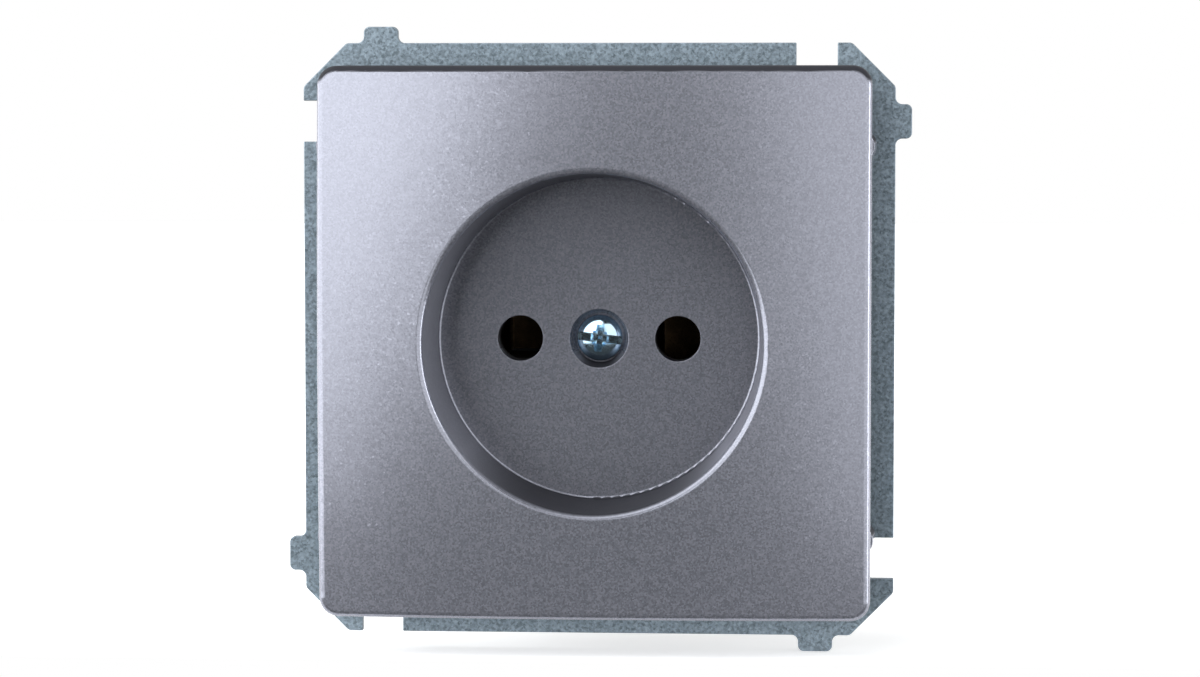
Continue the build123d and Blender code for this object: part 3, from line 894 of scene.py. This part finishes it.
    @staticmethod
    def _meshed(shape: bmesh.types.BMesh) -> Mesh:
        """Turns a shape's faces outwards and makes a mesh of them.

        Args:
            shape: the shape, which is freed.

        Returns:
            The mesh.
        """
        bmesh.ops.recalc_face_normals(shape, faces=shape.faces)
        mesh = bpy.data.meshes.new("screw")
        shape.to_mesh(mesh)
        shape.free()
        return mesh


@dataclass(frozen=True)
class ScrewSet:
    """Like screws of one node, each on its own seat."""

    node: str
    screw: Screw
    seats: tuple[Seat, ...]
    body: str = "socket"
    slot: str = "zinc_steel"

    def build(self, material: Material) -> None:
        """Builds the threaded screws in place of the node.

        Args:
            material: their finish.
        """
        one = self.screw.mesh()
        group = bmesh.new()
        for seat in self.seats:
            copy = one.copy()
            copy.transform(seat.matrix())
            group.from_mesh(copy)
            bpy.data.meshes.remove(copy)
        mesh = bpy.data.meshes.new(self.node + "_threaded")
        group.to_mesh(mesh)
        group.free()
        bpy.data.meshes.remove(one)
        mesh.materials.append(material)
        piece = bpy.data.objects.new(self.node + "_threaded", mesh)
        bpy.context.scene.collection.objects.link(piece)
        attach(piece, self.body)
        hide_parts(self.node)
        log.info("built %s with %d faces", piece.name, len(mesh.polygons))


@dataclass(frozen=True)
class FinishSet:
    """The materials of the whole insert, built once."""

    paint: Material
    sheet: Material
    zinc: Material
    blue_zinc: Material
    insulator: Material
    brass: Material
    shaded_contact_brass: Material

    @classmethod
    def made(cls) -> "FinishSet":
        """Builds the shared shader groups and every finish on them.

        Returns:
            The set of finishes.
        """
        SurfaceEffects().build()
        finishes = {
            "paint": MetallicPaint(),
            "sheet": GalvanisedSheet(),
            "zinc": ZincPlate(),
            "blue_zinc": ZincPlate("blue_zinc", colour=(0.58, 0.79, 0.94), dull=(0.46, 0.62, 0.74),
                                   roughness=(0.14, 0.22)),
            "insulator": MouldedInsulator(),
            "brass": RolledBrass(),
            # The contacts' brass is near black: painted shade for the dark inside of the pin holes, with its
            # tarnish and rubbed edges darkened alike.
            "shaded_contact_brass": RolledBrass("shade_dark_brass", colour=(0.055, 0.036, 0.02),
                                        tarnish=(0.025, 0.017, 0.01), rubbed=(0.2, 0.13, 0.065)),
        }
        return cls(**{key: finish.material() for key, finish in finishes.items()})


@dataclass
class Assembly:
    """What the sub-assemblies share: the finishes that they are dressed in."""

    finishes: FinishSet

    def build(self) -> None:
        """Builds and dresses the sub-assembly's pieces."""
        raise NotImplementedError


@dataclass
class Cover(Assembly):
    """The painted cover with its screw and the square nut behind it."""

    seat_depth: float = 2.9
    slot_lean: float = -6.6
    screw: Screw = Screw(5.5, 2.1, 3.0, 11.5, HeadForm.DOMED, Drive.CROSS_AND_SLOT)
    nut_edge: float = 0.12 * MM

    def build(self) -> None:
        """Dresses the cover and its nut and builds the screw."""
        dress("cover_plate", self.finishes.paint)
        break_edges(dress("cover_nut", self.finishes.zinc), self.nut_edge)
        lean = math.radians(self.slot_lean)
        seat = Seat((0.0, self.seat_depth, 0.0), FRONT, (math.cos(lean), 0.0, math.sin(lean)))
        ScrewSet("cover_screw", self.screw, (seat,)).build(self.finishes.blue_zinc)


@dataclass
class Carrier(Assembly):
    """The stamped frame and the screws that hold it to the base."""

    stamped_edge: float = 0.12 * MM
    screw_offset: float = 18.5
    seat_level: float = -1.2
    screw: Screw = Screw(5.2, 1.6, 2.9, 8.0, HeadForm.DOMED, Drive.CROSS, pitch=0.9)

    def build(self) -> None:
        """Dresses the frame and builds its four screws, each turned home to an angle of its own."""
        break_edges(dress("support_frame", self.finishes.sheet), self.stamped_edge)
        seats = []
        for a, b in ((-1, -1), (-1, 1), (1, -1), (1, 1)):
            turn = 0.5 * a + b
            place = (a * self.screw_offset, self.seat_level, b * self.screw_offset)
            seats.append(Seat(place, FRONT, (math.cos(turn), 0.0, math.sin(turn))))
        ScrewSet("frame_screws", self.screw, tuple(seats)).build(self.finishes.zinc)


@dataclass
class Base(Assembly):
    """The black moulding, the disc over its chambers and the disc's screws."""

    moulded_edge: float = 0.22 * MM
    disc_edge: float = 0.1 * MM
    screw_x: float = 8.5
    screw_z: float = 12.0
    disc_front: float = 2.7
    slot_run: Span = (0.8, 0.6)
    screw: Screw = Screw(4.2, 1.1, 2.2, 7.0, HeadForm.SUNK, Drive.SLOT, pitch=0.8, slot_width=0.7,
                         slot_depth=0.6)

    def build(self) -> None:
        """Dresses the base and the disc and builds the sunk screws."""
        break_edges(dress("socket_base", self.finishes.insulator), self.moulded_edge)
        break_edges(dress("contact_disc", self.finishes.insulator), self.disc_edge)
        run_x, run_z = self.slot_run
        seats = tuple(Seat((way * self.screw_x, self.disc_front, way * self.screw_z), FRONT,
                           (run_x, 0.0, way * run_z)) for way in (1, -1))
        ScrewSet("disc_screws", self.screw, seats).build(self.finishes.zinc)


@dataclass
class Poles(Assembly):
    """Contacts, terminal blocks and the screws that clamp the wires."""

    strip_edge: float = 0.08 * MM
    strip_segments: int = 1
    block_edge: float = 0.15 * MM
    seat_z: float = 18.8
    seat_y: float = 15.4
    screw_x: Span = (4.5, 9.5)
    screw: Screw = Screw(4.4, 1.8, 2.6, 3.1, HeadForm.CHEESE, Drive.SLOT, pitch=0.45)

    def build(self) -> None:
        """Dresses the brass pieces and builds the clamping screws, with slots at differing angles."""
        for side in ("left", "right"):
            # The contacts take the near-black brass, which is painted shade for the inside of the pin holes.
            contact = dress(f"contact_{side}", self.finishes.shaded_contact_brass)
            break_edges(contact, self.strip_edge, self.strip_segments)
            break_edges(dress(f"terminal_{side}", self.finishes.brass), self.block_edge)
        seats = tuple(Seat((-way * x, self.seat_y, way * self.seat_z), (0.0, 0.0, way),
                           (math.cos(x), math.sin(x), 0.0)) for way in (1, -1) for x in self.screw_x)
        ScrewSet("terminal_screws", self.screw, seats).build(self.finishes.zinc)


@dataclass
class Claws(Assembly):
    """The two spreading claws and their slanted screws."""

    edge: float = 0.12 * MM
    slant: float = 16.0
    seat_x: float = 27.2
    seat_y: float = -2.2
    slot_skew: float = 0.3
    screw: Screw = Screw(5.2, 1.9, 3.0, 24.5, HeadForm.CHEESE, Drive.CROSS_AND_SLOT)

    def build(self) -> None:
        """Dresses the claws and builds their screws."""
        for side in ("left", "right"):
            break_edges(dress(f"claw_{side}", self.finishes.zinc), self.edge)
        lean = math.radians(self.slant)
        seats = tuple(Seat((way * self.seat_x, self.seat_y, 0.0),
                           (way * math.sin(lean), -math.cos(lean), 0.0),
                           (way * self.slot_skew, 0.0, 1.0)) for way in (1, -1))
        ScrewSet("claw_screws", self.screw, seats).build(self.finishes.zinc)


def stand_off(item: Object, aim: Point, azimuth: float, elevation: float, distance: float) -> None:
    """Puts a lamp or the camera at a distance from a point, looking back at it.

    Args:
        item: the lamp or the camera.
        aim: the point that it looks at.
        azimuth: how far round from the front it stands, in degrees towards +X.
        elevation: how far above the level it stands, in degrees.
        distance: how far off it stands.
    """
    side, rise = math.radians(azimuth), math.radians(elevation)
    away = Vector((math.sin(side) * math.cos(rise), -math.cos(side) * math.cos(rise), math.sin(rise)))
    item.location = Vector(aim) + away * distance
    item.rotation_euler = (-away).to_track_quat("-Z", "Y").to_euler()
    bpy.context.scene.collection.objects.link(item)


@dataclass(frozen=True)
class SoftLight:
    """A large diffused panel that looks at the part's origin from a given side, unseen by the camera."""

    name: str
    azimuth: float
    elevation: float
    width: float
    height: float
    watts: float
    distance: float = 1.0
    aim: Point = (0.0, 0.0, 0.0)
    colour: Colour = (0.97, 0.99, 1.0)

    def build(self) -> None:
        """Places the light."""
        lamp = bpy.data.lights.new(self.name, "AREA")
        lamp.shape = "RECTANGLE"
        lamp.size, lamp.size_y = self.width, self.height
        lamp.energy, lamp.color = self.watts, self.colour
        light = bpy.data.objects.new(self.name, lamp)
        light.visible_camera = False
        stand_off(light, self.aim, self.azimuth, self.elevation, self.distance)


@dataclass
class Studio:
    """White backdrop, dark front, a pale floor, soft lights and the camera."""

    yaw: float = 4.17
    pitch: float = 3.59
    aim: Point = (0.24 * MM, -1.2 * MM, 0.10 * MM)
    distance: float = 0.448
    lens: float = 112.1
    sensor_width: float = 36.0
    clip: Span = (0.01, 20.0)
    backdrop_edge: Span = (-0.05, 0.35)
    backdrop_level: float = 0.7
    front_level: float = 0.0
    floor_half_width: float = 1.5
    floor_front: float = -0.0115
    floor_back: float = 1.6
    floor_colour: Colour = (0.80, 0.80, 0.80)
    floor_roughness: float = 0.9
    floor_glow: Span = (0.5, 0.95)
    glow_reach: Span = (0.06, 0.25)
    lights: tuple[SoftLight, ...] = (
        SoftLight("left_light", -63.0, 27.5, 2.64, 1.88, 46.5),
        SoftLight("right_light", 50.8, 12.2, 2.02, 1.16, 11.0),
        SoftLight("low_light", 0.0, -57.0, 1.74, 1.76, 0.6),
        SoftLight("edge_light", 84.0, 4.0, 0.35, 0.9, 5.0),
    )

    def build(self) -> None:
        """Builds the surroundings, the lights and the camera."""
        scene = bpy.context.scene
        scene.view_settings.view_transform = "Standard"
        self._world(scene)
        self._floor()
        for light in self.lights:
            light.build()
        self._camera(scene)

    def _world(self, scene: Scene) -> None:
        """Gives the scene a white backdrop behind the part and a dark studio in front of it.

        Args:
            scene: the scene.
        """
        world = bpy.data.worlds.new("white_studio")
        world.use_nodes = True
        scene.world = world
        sheet = NodeSheet(world.node_tree)
        path = sheet.add("LightPath").outputs
        behind = sheet.parts(sheet.add("TexCoord").outputs["Generated"])[1]
        backdrop = sheet.span(behind, *self.backdrop_edge)
        plain = sheet.math("MAXIMUM", path["Is Camera Ray"], path["Is Transmission Ray"])
        white = sheet.math("MAXIMUM", plain, sheet.product(path["Is Glossy Ray"], backdrop))
        around = sheet.mix(backdrop, self.front_level, self.backdrop_level)
        level = sheet.mix(white, around, 1.0)
        back = sheet.add("Background", None, {"Color": opaque(WHITE), "Strength": level})
        sheet.add("OutputWorld", None, {"Surface": back.outputs[0]})

    def _floor(self) -> None:
        """Lays the floor under the part; it looks white and keeps the part's shadow."""
        half, front, back = self.floor_half_width, self.floor_front, self.floor_back
        mesh = bpy.data.meshes.new("floor")
        corners = [(-half, front), (half, front), (half, back), (-half, back)]
        mesh.from_pydata([(x, y, cad_low.z) for x, y in corners], [], [(0, 1, 2, 3)])
        floor = bpy.data.objects.new("floor", mesh)
        bpy.context.scene.collection.objects.link(floor)
        material, sheet = NodeSheet.of_material("pale_floor")
        path = sheet.add("LightPath").outputs
        seen = sheet.math("MAXIMUM", path["Is Camera Ray"], path["Is Transmission Ray"])
        seen = sheet.math("MAXIMUM", seen, path["Is Glossy Ray"])
        away = sheet.add("VectorMath", {"operation": "LENGTH"}, {0: sheet.place()}).outputs["Value"]
        glow = sheet.product(seen, sheet.span(away, *self.glow_reach, *self.floor_glow))
        sheet.principled(Base_Color=opaque(self.floor_colour), Roughness=self.floor_roughness,
                         Specular_IOR_Level=0.0, Emission_Color=opaque(WHITE), Emission_Strength=glow)
        mesh.materials.append(material)

    def _camera(self, scene: Scene) -> None:
        """Sets the camera at the photograph's viewing angle.

        Args:
            scene: the scene.
        """
        data = bpy.data.cameras.new("view")
        data.lens, data.sensor_width, data.sensor_fit = self.lens, self.sensor_width, "HORIZONTAL"
        data.clip_start, data.clip_end = self.clip
        camera = bpy.data.objects.new("view", data)
        stand_off(camera, self.aim, self.yaw, self.pitch, self.distance)
        scene.camera = camera


def main() -> None:
    """Builds and dresses every sub-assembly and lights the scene."""
    logging.basicConfig(level=logging.INFO, format="%(name)s: %(message)s")
    finishes = FinishSet.made()
    for assembly in (Cover, Carrier, Base, Poles, Claws):
        assembly(finishes).build()
    Studio().build()


if __name__ == "__main__":
    main()
